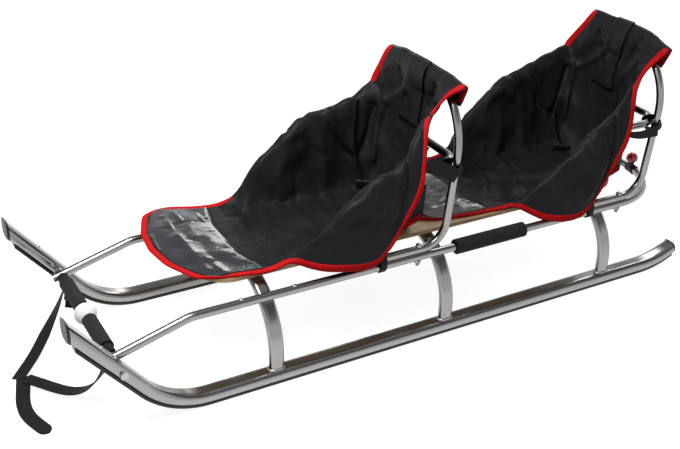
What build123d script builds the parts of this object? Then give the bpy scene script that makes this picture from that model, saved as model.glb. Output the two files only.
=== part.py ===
"""Two-seat tube sled: runners, arches, side rail, two seat frames, seat covers and tow strap.

Millimetres. +X is the way it is pulled, +Y its left side, +Z up. The floor is z = 0, and the
origin is under the middle of the sled. Stations along the sled are measured from the middle arch.
"""

import os
from math import atan2, cos, hypot, radians, sin, sqrt, tan

from build123d import *

# Runners: flat-oval tube that sweeps up at both ends, on a plastic glide strip
RUNNER_SPACING = 360.0
RUNNER_WIDTH = 36.0
RUNNER_HEIGHT = 22.0
RUNNER_FRONT_STATION = 496.0
RUNNER_REAR_STATION = -509.0
FRONT_BEND_RADIUS = 150.0
FRONT_RISE_DEG = 50.5
FRONT_RISE_LENGTH = 195.0
REAR_BEND_RADIUS = 200.0
REAR_TIP_STATION = -600.0
REAR_RISE_DEG = 32.0
GLIDE_WIDTH = 25.0
GLIDE_THICK = 5.0
GLIDE_SHORT_OF_TIP = 12.0
TIP_CAP_THICK = 5.0
TIP_CAP_RIM = 1.0
REAR_PLUG_THICK = 3.0

# Arches: flat-oval hoops from runner to runner that carry the board and the side rail
ARCH_WIDTH = 29.0
ARCH_THICK = 16.0
ARCH_BEND_RADIUS = 120.0
ARCH_AXIS_TOP = 172.0
FRONT_ARCH_STATION = 366.0
REAR_ARCH_STATION = -402.0

# Side rail: one round tube, bent round behind the rear seat, open at its two front ends
TUBE_DIAMETER = 16.0
TUBE_WALL = 1.5
RAIL_INSET = 35.0
RAIL_FRONT_BEND_STATION = 513.0
RAIL_FRONT_BEND_RADIUS = 60.0
RAIL_BEND_AHEAD_OF_SEAT = 44.0
RAIL_PAST_CROSSBAR = 16.0
RAIL_BORE_DEPTH = 11.0
WELD_GAP = 0.1

# Front crossbar with its bolts, foam grips and middle collar
CROSSBAR_STATION = 651.0
CROSSBAR_DIAMETER = 16.0
BOLT_DIAMETER = 8.0
BOLT_HEAD_DIAMETER = 14.0
BOLT_HEAD_HEIGHT = 5.0
BOLT_GRIP_DEPTH = 22.0
BOLT_CLEARANCE = 0.2
CROSSBAR_GRIP_DIAMETER = 27.0
CROSSBAR_GRIP_INNER = 21.0
CROSSBAR_GRIP_TO_RAIL = 33.0
COLLAR_DIAMETER = 40.0
COLLAR_WIDTH = 34.0

# Foam grips on the side rail
RAIL_GRIP_DIAMETER = 30.0
RAIL_GRIP_LENGTH = 164.0
RAIL_GRIP_UNDER_WING = 3.0

# Rear reflector: a dome on a clip round the rail's rear bend, a little to the left
REFLECTOR_DIAMETER = 26.0
REFLECTOR_OVER_RAIL = 26.0
REFLECTOR_DEPTH_BELOW_CENTRE = 6.0
REFLECTOR_TURN_DEG = 10.0
REFLECTOR_INSET = 4.0
CLIP_DIAMETER = 21.0
CLIP_ARC_DEG = 10.0
CLIP_NECK_DIAMETER = 14.0

# Seat board
BOARD_TO_RAIL = 37.0
BOARD_THICK = 8.0
BOARD_FRONT_STATION = 466.0
BOARD_REAR_STATION = -490.0
BOARD_CORNER_RADIUS = 60.0

# Seat frames: a bent back frame on the rail, and a flat hoop tied inside it that carries the arms
SEAT_STATION = -5.0
SEAT_PITCH = 503.0
BACK_LEAN_DEG = 4.0
BACK_LEG_LENGTH = 146.0
BACK_FOOT_RADIUS = 52.0
BACK_TOP_RADIUS = 130.0
BACK_AXIS_TOP = 481.0
HOOP_AXIS_HEIGHT = 330.0
HOOP_ARM_INSET = 10.0
HOOP_BEND_RADIUS = 50.0
HOOP_ARM_REACH = 141.0

# Seat covers: padded cloth
CLOTH_THICK = 5.0
CLOTH_CLEARANCE = 0.3
PAD_THICK = 6.0
APRON_GAP = 3.0
APRON_START = 311.0
APRON_OVER_RAIL = 27.0
APRON_CORNER_RADIUS = 55.0
APRON_BULGE = 40.0
BACK_PANEL_FOOT_INSET = 35.0
BACK_PANEL_WAIST_INSET = 67.0
BACK_PANEL_WAIST_HEIGHT = 372.0
BACK_PANEL_CORNER_INSET = 6.0
BACK_PANEL_CORNER_HEIGHT = 486.0
BACK_PANEL_CROWN_HEIGHT = 499.0
POCKET_DEPTH = 60.0
WING_FLAP_OVER_RAIL = 16.0
WING_REAR = 68.0
WING_FRONT = 311.0
WING_HEM_REAR = 158.0
WING_HEM_HEIGHT = 170.0
WING_INNER_INSET = 23.0

# Tow strap: flat webbing tied round the crossbar ends, with a hand loop on the floor
STRAP_WIDTH = 25.0
STRAP_THICK = 2.0
STRAP_LOOP_WIDTH = 22.0
STRAP_LOOP_TO_RAIL = 20.5

# Heights and places that follow from the sizes above
tube_radius = TUBE_DIAMETER / 2
runner_axis = GLIDE_THICK + RUNNER_HEIGHT / 2
runner_top = GLIDE_THICK + RUNNER_HEIGHT
runner_y = RUNNER_SPACING / 2
rail_y = runner_y - RAIL_INSET
arch_centre_y = runner_y - ARCH_BEND_RADIUS
arch_centre_z = ARCH_AXIS_TOP - ARCH_BEND_RADIUS
rail_offset = ARCH_BEND_RADIUS + ARCH_THICK / 2 + tube_radius + WELD_GAP
rail_z = arch_centre_z + sqrt(rail_offset**2 - (rail_y - arch_centre_y) ** 2)
board_edge = rail_y - BOARD_TO_RAIL
board_bottom = ARCH_AXIS_TOP + ARCH_THICK / 2
board_top = board_bottom + BOARD_THICK
pad_bottom = board_top + CLOTH_CLEARANCE
pad_top = pad_bottom + PAD_THICK

rise = radians(FRONT_RISE_DEG)
arc_end_station = RUNNER_FRONT_STATION + FRONT_BEND_RADIUS * sin(rise)
arc_end_z = runner_axis + FRONT_BEND_RADIUS * (1 - cos(rise))
tip_station = arc_end_station + FRONT_RISE_LENGTH * cos(rise)
rail_bend_station = SEAT_STATION - SEAT_PITCH + RAIL_BEND_AHEAD_OF_SEAT
rail_rear_station = rail_bend_station - rail_y - tube_radius
x_datum = -(tip_station + rail_rear_station) / 2
crossbar_z = arc_end_z + (CROSSBAR_STATION - arc_end_station) * tan(rise)


def at(station):
    """X of a station measured forward from the middle arch."""
    return x_datum + station


crossbar_x = at(CROSSBAR_STATION)
tip_x = at(tip_station)
rear_tip_x = at(REAR_TIP_STATION)
leg_z = rail_z + TUBE_DIAMETER + WELD_GAP
strap_loop_y = rail_y - STRAP_LOOP_TO_RAIL
lean = radians(BACK_LEAN_DEG)

os.makedirs("parts", exist_ok=True)


def save(shape, node):
    """Write one node's solids."""
    export_step(shape, f"parts/{node}.step")


def sweep_along(path, section, across):
    """Sweep a section drawn in (across, up) coordinates along a path from its start."""
    start = Plane(origin=path @ 0, x_dir=across, z_dir=path % 0)
    return sweep(start * section, path=path)


def rod(start, end, diameter):
    """Round bar between two points."""
    axis = Vector(*end) - Vector(*start)
    seat = Plane(origin=start, z_dir=axis)
    return seat * Cylinder(diameter / 2, axis.length, align=(Align.CENTER, Align.CENTER, Align.MIN))


def block(low, high):
    """Box between two corners."""
    size = [b - a for a, b in zip(low, high)]
    middle = [(a + b) / 2 for a, b in zip(low, high)]
    return Pos(*middle) * Box(*size)


# Runners, glide strips, tip caps and rear plugs
def runner_path(y):
    """Axis of a runner tube from behind its rear end to past its front tip."""
    past_end = RUNNER_WIDTH
    rear_turn = radians(REAR_RISE_DEG)
    rear_corner = at(RUNNER_REAR_STATION) - REAR_BEND_RADIUS * tan(rear_turn / 2)
    rear_run = REAR_BEND_RADIUS * tan(rear_turn / 2) + past_end
    front_corner = at(RUNNER_FRONT_STATION) + FRONT_BEND_RADIUS * tan(rise / 2)
    front_run = FRONT_BEND_RADIUS * tan(rise / 2) + FRONT_RISE_LENGTH + past_end
    points = [
        (rear_corner - rear_run * cos(rear_turn), y, runner_axis + rear_run * sin(rear_turn)),
        (rear_corner, y, runner_axis),
        (front_corner, y, runner_axis),
        (front_corner + front_run * cos(rise), y, runner_axis + front_run * sin(rise)),
    ]
    return FilletPolyline(*points, radius=[REAR_BEND_RADIUS, FRONT_BEND_RADIUS])


def between(solid, x_low, x_high):
    """The part of a runner's sweep between two upright cuts."""
    reach = RUNNER_SPACING
    return solid & block((x_low, -reach, -reach), (x_high, reach, 2 * reach))


def build_runner(side, name):
    y = side * runner_y
    path = runner_path(y)
    tube_section = SlotOverall(RUNNER_WIDTH, RUNNER_HEIGHT)
    cap_section = SlotOverall(RUNNER_WIDTH + 2 * TIP_CAP_RIM, RUNNER_HEIGHT + 2 * TIP_CAP_RIM)
    strip_drop = (RUNNER_HEIGHT + GLIDE_THICK) / 2
    strip_section = Pos(0, -strip_drop) * Rectangle(GLIDE_WIDTH, GLIDE_THICK)
    across = (0, 1, 0)
    tube = sweep_along(path, tube_section, across)
    cap = sweep_along(path, cap_section, across)
    strip = sweep_along(path, strip_section, across)
    bolt_hole = rod((crossbar_x, y - RUNNER_WIDTH, crossbar_z), (crossbar_x, y + RUNNER_WIDTH, crossbar_z),
                    BOLT_DIAMETER + 2 * BOLT_CLEARANCE)
    plug_face = rear_tip_x + REAR_PLUG_THICK
    cap_face = tip_x - TIP_CAP_THICK
    save(between(tube, plug_face, cap_face) - bolt_hole, f"runner_{name}")
    save(between(cap, cap_face, tip_x), f"tip_cap_{name}")
    save(between(tube, rear_tip_x, plug_face), f"rear_plug_{name}")
    save(between(strip, rear_tip_x, tip_x - GLIDE_SHORT_OF_TIP), f"glide_strip_{name}")


# Arches
def build_arch(station, name):
    x = at(station)
    path = FilletPolyline(
        (x, -runner_y, runner_top), (x, -runner_y, ARCH_AXIS_TOP),
        (x, runner_y, ARCH_AXIS_TOP), (x, runner_y, runner_top),
        radius=ARCH_BEND_RADIUS,
    )
    save(sweep_along(path, SlotOverall(ARCH_WIDTH, ARCH_THICK), (1, 0, 0)), f"arch_{name}")


# Side rail
def build_side_rail():
    bend_x = at(RAIL_FRONT_BEND_STATION)
    fall = atan2(rail_z - crossbar_z, crossbar_x - bend_x)
    end_x = crossbar_x + RAIL_PAST_CROSSBAR * cos(fall)
    end_z = crossbar_z - RAIL_PAST_CROSSBAR * sin(fall)
    rear_x = at(rail_bend_station)
    left = FilletPolyline((end_x, rail_y, end_z), (bend_x, rail_y, rail_z), (rear_x, rail_y, rail_z),
                          radius=RAIL_FRONT_BEND_RADIUS)
    rear = ThreePointArc((rear_x, rail_y, rail_z), (rear_x - rail_y, 0, rail_z), (rear_x, -rail_y, rail_z))
    right = FilletPolyline((rear_x, -rail_y, rail_z), (bend_x, -rail_y, rail_z), (end_x, -rail_y, end_z),
                           radius=RAIL_FRONT_BEND_RADIUS)
    path = Wire(left.edges() + rear.edges() + right.edges())
    tube = sweep_along(path, Circle(tube_radius), (0, 1, 0))
    inward = Vector(-cos(fall), 0, sin(fall)) * RAIL_BORE_DEPTH
    for y in (rail_y, -rail_y):
        mouth = Vector(end_x, y, end_z)
        tube -= rod(mouth, mouth + inward, TUBE_DIAMETER - 2 * TUBE_WALL)
        tube -= rod((crossbar_x, y - TUBE_DIAMETER, crossbar_z), (crossbar_x, y + TUBE_DIAMETER, crossbar_z),
                    BOLT_DIAMETER + 2 * BOLT_CLEARANCE)
    save(tube, "side_rail")


# Rear reflector
def rail_ring(diameter):
    """Stretch of a round bar along the rail's rear bend, about the middle of the bend."""
    section = Plane.XZ * Pos(rail_y, 0) * Circle(diameter / 2)
    return Rot(0, 0, -CLIP_ARC_DEG / 2) * revolve(section, Axis.Z, revolution_arc=CLIP_ARC_DEG)


def build_reflector():
    bend = Pos(at(rail_bend_station), 0, rail_z) * Rot(0, 0, 180 - REFLECTOR_TURN_DEG)
    stand = Pos(rail_y - REFLECTOR_INSET, 0, 0)
    dome_bottom = REFLECTOR_OVER_RAIL - REFLECTOR_DEPTH_BELOW_CENTRE
    neck = Cylinder(CLIP_NECK_DIAMETER / 2, dome_bottom - WELD_GAP, align=(Align.CENTER, Align.CENTER, Align.MIN))
    clip = rail_ring(CLIP_DIAMETER) + stand * neck - rail_ring(TUBE_DIAMETER + 2 * CLOTH_CLEARANCE)
    save(bend * clip, "rear_reflector_clip")
    ball = Pos(0, 0, REFLECTOR_OVER_RAIL) * Sphere(REFLECTOR_DIAMETER / 2)
    above = block((-REFLECTOR_DIAMETER, -REFLECTOR_DIAMETER, dome_bottom),
                  (REFLECTOR_DIAMETER, REFLECTOR_DIAMETER, 2 * REFLECTOR_OVER_RAIL))
    save(bend * stand * (ball & above), "rear_reflector")


# Front crossbar
def crossbar_sleeve(low, high, outer):
    """Ring on the crossbar between two Y values."""
    body = rod((crossbar_x, low, crossbar_z), (crossbar_x, high, crossbar_z), outer)
    hole = rod((crossbar_x, low, crossbar_z), (crossbar_x, high, crossbar_z),
               CROSSBAR_DIAMETER + 2 * CLOTH_CLEARANCE)
    return body - hole


def build_crossbar():
    end = rail_y - tube_radius - WELD_GAP
    bar = rod((crossbar_x, -end, crossbar_z), (crossbar_x, end, crossbar_z), CROSSBAR_DIAMETER)
    runner_face = runner_y + RUNNER_WIDTH / 2 + WELD_GAP
    shoulder_inner = rail_y + tube_radius + WELD_GAP
    shoulder_outer = runner_y - RUNNER_WIDTH / 2 - WELD_GAP
    for side, name in ((1, "left"), (-1, "right")):
        def point(y):
            return (crossbar_x, side * y, crossbar_z)

        bar -= rod(point(end - BOLT_GRIP_DEPTH), point(end), BOLT_DIAMETER + 2 * BOLT_CLEARANCE)
        bolt = rod(point(end - BOLT_GRIP_DEPTH), point(runner_face), BOLT_DIAMETER)
        bolt += rod(point(shoulder_inner), point(shoulder_outer), BOLT_HEAD_DIAMETER)
        bolt += rod(point(runner_face), point(runner_face + BOLT_HEAD_HEIGHT), BOLT_HEAD_DIAMETER)
        save(bolt, f"crossbar_bolt_{name}")
        low, high = sorted((side * CROSSBAR_GRIP_INNER, side * (rail_y - CROSSBAR_GRIP_TO_RAIL)))
        save(crossbar_sleeve(low, high, CROSSBAR_GRIP_DIAMETER), f"crossbar_grip_{name}")
        middle = side * strap_loop_y
        loop_outer = CROSSBAR_DIAMETER + 2 * (CLOTH_CLEARANCE + STRAP_THICK)
        loop = crossbar_sleeve(middle - STRAP_LOOP_WIDTH / 2, middle + STRAP_LOOP_WIDTH / 2, loop_outer)
        save(loop, f"tow_loop_{name}")
    save(bar, "crossbar")
    ball = Pos(crossbar_x, 0, crossbar_z) * Sphere(COLLAR_DIAMETER / 2)
    half = COLLAR_WIDTH / 2
    save(ball & crossbar_sleeve(-half, half, 2 * COLLAR_DIAMETER), "crossbar_collar")


# Foam grips on the side rail
def build_rail_grip(side, name):
    rear = at(SEAT_STATION - SEAT_PITCH + WING_FRONT - RAIL_GRIP_UNDER_WING)
    front = rear + RAIL_GRIP_LENGTH
    ends = [(rear, side * rail_y, rail_z), (front, side * rail_y, rail_z)]
    foam = rod(*ends, RAIL_GRIP_DIAMETER) - rod(*ends, TUBE_DIAMETER + 2 * CLOTH_CLEARANCE)
    save(foam, f"rail_grip_{name}")


# Seat board
def build_board():
    front = at(BOARD_FRONT_STATION)
    rear = at(BOARD_REAR_STATION)
    outline = RectangleRounded(front - rear, 2 * board_edge, BOARD_CORNER_RADIUS)
    save(Pos((front + rear) / 2, 0, board_bottom) * extrude(outline, BOARD_THICK), "seat_board")


# One seat: its frame, hoop and cover
def back_plane(foot_x):
    """Plane of a back frame: its X is the sled's Y, its Y climbs the leaning uprights."""
    return Plane(origin=(foot_x, 0, leg_z), x_dir=(0, 1, 0), z_dir=(cos(lean), 0, sin(lean)))


def climb(height):
    """Distance up a leaning upright at which it reaches a height above the floor."""
    return (height - leg_z) / cos(lean)


def back_frame_tube(foot_x, radius):
    """Round bar along a back frame: a leg on the rail, an upright, the top bend, and down the other side."""
    top = climb(BACK_AXIS_TOP)
    top_x = foot_x - top * sin(lean)
    front_x = foot_x + BACK_LEG_LENGTH
    path = FilletPolyline(
        (front_x, rail_y, leg_z), (foot_x, rail_y, leg_z), (top_x, rail_y, BACK_AXIS_TOP),
        (top_x, -rail_y, BACK_AXIS_TOP), (foot_x, -rail_y, leg_z), (front_x, -rail_y, leg_z),
        radius=[BACK_FOOT_RADIUS, BACK_TOP_RADIUS, BACK_TOP_RADIUS, BACK_FOOT_RADIUS],
    )
    return sweep_along(path, Circle(radius), (0, 1, 0))


def build_hoop(foot_x, name):
    arm_y = rail_y - HOOP_ARM_INSET
    upright_x = foot_x - climb(HOOP_AXIS_HEIGHT) * sin(lean)
    bend_centre_y = arm_y - HOOP_BEND_RADIUS
    touch = HOOP_BEND_RADIUS + TUBE_DIAMETER + WELD_GAP
    bend_centre_x = upright_x + sqrt(touch**2 - (rail_y - bend_centre_y) ** 2)
    cross_x = bend_centre_x - HOOP_BEND_RADIUS
    tip = foot_x + HOOP_ARM_REACH
    path = FilletPolyline(
        (tip, arm_y, HOOP_AXIS_HEIGHT), (cross_x, arm_y, HOOP_AXIS_HEIGHT),
        (cross_x, -arm_y, HOOP_AXIS_HEIGHT), (tip, -arm_y, HOOP_AXIS_HEIGHT),
        radius=HOOP_BEND_RADIUS,
    )
    save(sweep_along(path, Circle(tube_radius), (0, 1, 0)), f"arm_hoop_{name}")


def build_seat_pad(foot_x, name):
    """Seat pad with its wide rounded apron in front."""
    apron_x = foot_x + APRON_START
    front_x = foot_x + SEAT_PITCH - APRON_GAP
    corner_x = front_x - APRON_BULGE
    side_x = corner_x - APRON_CORNER_RADIUS
    left_y = board_edge
    right_y = -(rail_y + APRON_OVER_RAIL)
    left_corner_y = left_y - APRON_CORNER_RADIUS
    right_corner_y = right_y + APRON_CORNER_RADIUS
    middle_y = (left_y + right_y) / 2
    sides = Polyline((corner_x, right_corner_y), (side_x, right_y), (apron_x, right_y),
                     (apron_x, left_y), (side_x, left_y), (corner_x, left_corner_y))
    nose = ThreePointArc((corner_x, left_corner_y), (front_x, middle_y), (corner_x, right_corner_y))
    apron = make_face(sides.edges() + nose.edges())
    seat = Pos((foot_x + apron_x) / 2, 0) * Rectangle(apron_x - foot_x, 2 * board_edge)
    save(Pos(0, 0, pad_bottom) * extrude(seat + apron, PAD_THICK), f"seat_pad_{name}")


def build_back_panel(foot_x, name):
    """Waisted back panel in front of the uprights, with a pocket over the top of the frame."""
    foot = climb(pad_top + CLOTH_CLEARANCE)
    waist = climb(BACK_PANEL_WAIST_HEIGHT)
    corner = climb(BACK_PANEL_CORNER_HEIGHT)
    crown = climb(BACK_PANEL_CROWN_HEIGHT)
    foot_y = rail_y - BACK_PANEL_FOOT_INSET
    waist_y = rail_y - BACK_PANEL_WAIST_INSET
    corner_y = rail_y - BACK_PANEL_CORNER_INSET
    with BuildSketch() as outline:
        with BuildLine():
            Polyline((-corner_y, corner), (-waist_y, waist), (-foot_y, foot),
                     (foot_y, foot), (waist_y, waist), (corner_y, corner))
            ThreePointArc((corner_y, corner), (0, crown), (-corner_y, corner))
        make_face()
    inner = tube_radius + CLOTH_CLEARANCE
    outer = inner + CLOTH_THICK
    low = corner - POCKET_DEPTH
    wide = corner_y + TUBE_DIAMETER
    above = Pos(0, low + POCKET_DEPTH) * Rectangle(2 * wide, 2 * POCKET_DEPTH)
    pocket = outline.sketch & above
    hem = low - CLOTH_THICK
    eaves = corner - CLOTH_THICK
    sides = Polyline((-corner_y, eaves), (-wide, eaves), (-wide, hem), (wide, hem), (wide, eaves),
                     (corner_y, eaves))
    roof = ThreePointArc((corner_y, eaves), (0, crown - CLOTH_THICK), (-corner_y, eaves))
    hollow = make_face(sides.edges() + roof.edges())
    plate = Pos(0, 0, inner) * extrude(outline.sketch, CLOTH_THICK)
    shell = Pos(0, 0, -outer) * extrude(pocket, 2 * outer) - Pos(0, 0, -inner) * extrude(hollow, 2 * inner)
    tube_room = back_frame_tube(foot_x, tube_radius + CLOTH_CLEARANCE / 2)
    save(back_plane(foot_x) * (plate + shell) - tube_room, f"back_panel_{name}")


def wing_profile(foot_x, inset):
    """Side view of a wing, in from its edge over the arm and down its front by an inset."""
    ridge = HOOP_AXIS_HEIGHT + tube_radius + CLOTH_CLEARANCE + CLOTH_THICK - inset
    tip_x = foot_x + HOOP_ARM_REACH + CLOTH_CLEARANCE + CLOTH_THICK - inset
    front_x = foot_x + WING_FRONT - inset
    low = WING_HEM_HEIGHT if inset == 0 else 0
    rear_x = foot_x + WING_REAR if inset == 0 else foot_x
    hem_x = foot_x + WING_HEM_REAR if inset == 0 else foot_x
    return make_face(Polyline((rear_x, ridge), (tip_x, ridge), (front_x, pad_top), (front_x, low + PAD_THICK),
                              (front_x - 2 * PAD_THICK, low), (hem_x, low), close=True))


def wing_section(inset):
    """Front view of a wing: a sloping inner wall, the arm inside, and a hanging outer flap."""
    ridge = HOOP_AXIS_HEIGHT + tube_radius + CLOTH_CLEARANCE + CLOTH_THICK - inset
    outside = rail_y + WING_FLAP_OVER_RAIL - inset
    low = 0 if inset else WING_HEM_HEIGHT
    foot = board_edge - 2 * CLOTH_THICK + inset
    inner_top = rail_y - WING_INNER_INSET + inset
    return make_face(Polyline((foot, low), (foot, pad_top), (inner_top, ridge),
                              (outside, ridge), (outside, low), close=True))


def build_wings(foot_x, name):
    length = WING_FRONT + TUBE_DIAMETER
    layers = []
    for inset in (0, CLOTH_THICK):
        along = Plane(origin=(foot_x, 0, 0), x_dir=(0, 1, 0), z_dir=(1, 0, 0)) * wing_section(inset)
        across = Plane(origin=(0, 0, 0), x_dir=(1, 0, 0), z_dir=(0, -1, 0)) * wing_profile(foot_x, inset)
        layers.append(extrude(along, length) & extrude(across, -RUNNER_SPACING))
    inner_wall_foot = block((foot_x, 0, 0), (foot_x + 2 * WING_FRONT, rail_y, pad_top + CLOTH_CLEARANCE))
    wing = layers[0] - layers[1] - inner_wall_foot
    save(wing, f"wing_{name}_left")
    save(mirror(wing, Plane.XZ), f"wing_{name}_right")


# Tow strap: flat bands along straight runs and tangent arcs
TOW_LEFT_ROUTE = [
    (592, 124, 107), (599, 116, 80), (607, 106, 55), (618, 93, 32), (632, 77, 16.5), (650, 56, 7.5),
    (670, 30, 6), (690, 2.5, 6), (703, -15, 5.2),
]
TOW_RIGHT_ROUTE = [
    (592, -124, 107), (607, -112, 84), (630, -96, 57.5), (654, -78.5, 33.5), (676, -61.5, 15),
    (698, -43, 5.5), (716, -22, 3.2),
]
TOW_HANDLE_ROUTE = [
    (706, -24, 1), (716, 12, 1), (725, 44, 1), (728, 76, 1), (722, 106, 1), (708, 142, 1),
]


def route_radii(points):
    """Largest arc that fits each corner of a route."""
    radii = []
    for before, here, after in zip(points, points[1:], points[2:]):
        into = Vector(*here) - Vector(*before)
        away = Vector(*after) - Vector(*here)
        turn = radians(into.get_angle(away))
        radii.append(0.45 * min(into.length, away.length) / tan(turn / 2))
    return radii


def build_strap(points, node):
    path = FilletPolyline(*points, radius=route_radii(points))
    start = path % 0
    flat = hypot(start.X, start.Y)
    across = (-start.Y / flat, start.X / flat, 0)
    band = sweep_along(path, Rectangle(STRAP_WIDTH, STRAP_THICK), across)
    save(band, node)


for side, name in ((1, "left"), (-1, "right")):
    build_runner(side, name)
    build_rail_grip(side, name)

for station, name in ((FRONT_ARCH_STATION, "front"), (0.0, "middle"), (REAR_ARCH_STATION, "rear")):
    build_arch(station, name)

build_side_rail()
build_reflector()
build_crossbar()
build_board()

for station, name in ((SEAT_STATION, "front"), (SEAT_STATION - SEAT_PITCH, "rear")):
    save(back_frame_tube(at(station), tube_radius), f"back_frame_{name}")
    build_hoop(at(station), name)
    build_seat_pad(at(station), name)
    build_back_panel(at(station), name)
    build_wings(at(station), name)

build_strap(TOW_LEFT_ROUTE, "tow_strap_left")
build_strap(TOW_RIGHT_ROUTE, "tow_strap_right")
build_strap(TOW_HANDLE_ROUTE, "tow_strap_handle")
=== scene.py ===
"""Looks for the two-seat tube sled: metal, padded covers with red binding, straps, fittings and light.

Metres in the part's own frame: +X is the way it is pulled, +Y its left side, +Z up. Tables that hold
millimetres say so.
"""

from math import cos, pi, radians, sin

import bpy
import numpy as np
from mathutils import Matrix, Vector, noise
from mathutils.bvhtree import BVHTree


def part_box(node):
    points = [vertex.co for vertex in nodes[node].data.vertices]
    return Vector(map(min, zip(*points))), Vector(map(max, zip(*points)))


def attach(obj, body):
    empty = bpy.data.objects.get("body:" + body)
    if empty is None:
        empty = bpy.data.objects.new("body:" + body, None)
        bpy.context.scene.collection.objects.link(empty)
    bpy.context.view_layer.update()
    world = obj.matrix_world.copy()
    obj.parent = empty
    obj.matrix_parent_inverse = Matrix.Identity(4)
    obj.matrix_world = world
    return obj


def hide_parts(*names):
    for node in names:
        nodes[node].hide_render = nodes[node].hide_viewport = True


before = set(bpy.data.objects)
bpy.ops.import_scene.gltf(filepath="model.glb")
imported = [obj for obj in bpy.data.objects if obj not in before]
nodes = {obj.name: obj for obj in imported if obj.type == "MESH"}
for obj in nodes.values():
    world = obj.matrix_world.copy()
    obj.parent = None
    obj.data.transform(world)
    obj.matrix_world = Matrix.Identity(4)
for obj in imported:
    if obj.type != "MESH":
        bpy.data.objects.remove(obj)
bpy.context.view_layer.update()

MM = 0.001
SIDES = ((1, "left"), (-1, "right"))

# Places read from the frame, with the length of the back frames' legs and their lean
BACK_LEG_LENGTH = 0.146
BACK_LEAN = radians(4)
board_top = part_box("seat_board")[1].z
rail_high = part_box("side_rail")[1]
tube_radius = (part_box("arm_hoop_front")[1].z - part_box("arm_hoop_front")[0].z) / 2
rail_y = rail_high.y - tube_radius
grip_low, grip_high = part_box("rail_grip_left")
rail_z = (grip_low.z + grip_high.z) / 2
leg_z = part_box("back_frame_front")[0].z + tube_radius
hoop_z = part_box("arm_hoop_front")[1].z - tube_radius
runner_y = (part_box("runner_left")[0].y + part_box("runner_left")[1].y) / 2
seat_feet = {name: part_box(f"back_frame_{name}")[1].x - BACK_LEG_LENGTH for name in ("front", "rear")}


# Meshes
def mesh_piece(name, points, faces):
    mesh = bpy.data.meshes.new(name)
    mesh.from_pydata([tuple(point) for point in points], [], faces)
    mesh.shade_smooth()
    piece = bpy.data.objects.new(name, mesh)
    bpy.context.scene.collection.objects.link(piece)
    return piece


def finish_piece(piece, material, slot, *replaced):
    piece.data.materials.clear()
    piece.data.materials.append(material)
    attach(piece, "root")
    if replaced:
        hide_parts(*replaced)
    return piece


def join_pieces(name, pieces):
    """One piece out of several meshes."""
    points = []
    faces = []
    for piece in pieces:
        start = len(points)
        points += [tuple(vertex.co) for vertex in piece.data.vertices]
        faces += [[start + i for i in face.vertices] for face in piece.data.polygons]
        bpy.data.objects.remove(piece)
    return mesh_piece(name, points, faces)


def unit(vectors):
    return vectors / np.maximum(np.linalg.norm(vectors, axis=-1, keepdims=True), 1e-9)


def bar_profile(width, thick, corners=5, squareness=0.45):
    """Closed rounded section of a band, as (across, up) pairs."""
    angles = np.linspace(0, 2 * pi, 4 * corners, endpoint=False)
    across = np.sign(np.cos(angles)) * np.abs(np.cos(angles)) ** squareness
    up = np.sign(np.sin(angles)) * np.abs(np.sin(angles)) ** squareness
    return np.column_stack([across * width / 2, up * thick / 2])


def ring_faces(count, sides, closed=False):
    """Faces between rings of points that follow each other."""
    faces = []
    for i in range(count if closed else count - 1):
        a = i * sides
        b = (i + 1) % count * sides
        faces += [(a + j, a + (j + 1) % sides, b + (j + 1) % sides, b + j) for j in range(sides)]
    return faces


def end_faces(count, sides):
    """Faces that close the first and the last ring."""
    return [tuple(range(sides))[::-1], tuple((count - 1) * sides + j for j in range(sides))]


def sweep(name, path, across, up, profile, closed=False):
    """Section carried along a path, with the section's two directions given at each point."""
    path, across, up = (np.asarray(values, float) for values in (path, across, up))
    rings = path[:, None] + profile[None, :, :1] * across[:, None] + profile[None, :, 1:] * up[:, None]
    count, sides = rings.shape[:2]
    faces = ring_faces(count, sides, closed)
    if not closed:
        faces += end_faces(count, sides)
    return mesh_piece(name, rings.reshape(-1, 3), faces)


def lathe(name, place, axis, outline, segments=20):
    """Turned part: outline rows are (radius, height along the axis)."""
    turn = Vector(axis).to_track_quat("Z", "Y").to_matrix()
    points = []
    for radius, height in outline:
        for step in range(segments):
            angle = 2 * pi * step / segments
            local = Vector((radius * cos(angle), radius * sin(angle), height))
            points.append(Vector(place) + turn @ local)
    faces = ring_faces(len(outline), segments)
    faces.append(end_faces(len(outline), segments)[1])
    return mesh_piece(name, points, faces)


def distances_along(path):
    """Distance from the start of a path to each of its points."""
    return np.concatenate([[0], np.cumsum(np.linalg.norm(np.diff(path, axis=0), axis=1))])


def points_at(path, gone, at):
    """Points of a path at given distances, where gone holds the distance of each of its own points."""
    return np.column_stack([np.interp(at, gone, path[:, k]) for k in range(3)])


def resample(path, spacing):
    """Points evenly spaced along a path."""
    path = np.asarray(path, float)
    gone = distances_along(path)
    count = max(2, int(round(gone[-1] / spacing)) + 1)
    return points_at(path, gone, np.linspace(0, gone[-1], count))


def eased(path, rounds):
    """Path with its corners eased and its ends kept."""
    path = np.array(path, float)
    for _ in range(rounds):
        path[1:-1] = 0.25 * path[:-2] + 0.5 * path[1:-1] + 0.25 * path[2:]
    return path


# Materials
def material_named(name, colour, roughness, metallic=0.0, **sockets):
    material = bpy.data.materials.new(name)
    material.use_nodes = True
    shader = material.node_tree.nodes["Principled BSDF"]
    shader.inputs["Base Color"].default_value = (*colour, 1)
    shader.inputs["Roughness"].default_value = roughness
    shader.inputs["Metallic"].default_value = metallic
    for socket, value in sockets.items():
        shader.inputs[socket.replace("_", " ")].default_value = value
    return material


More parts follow.
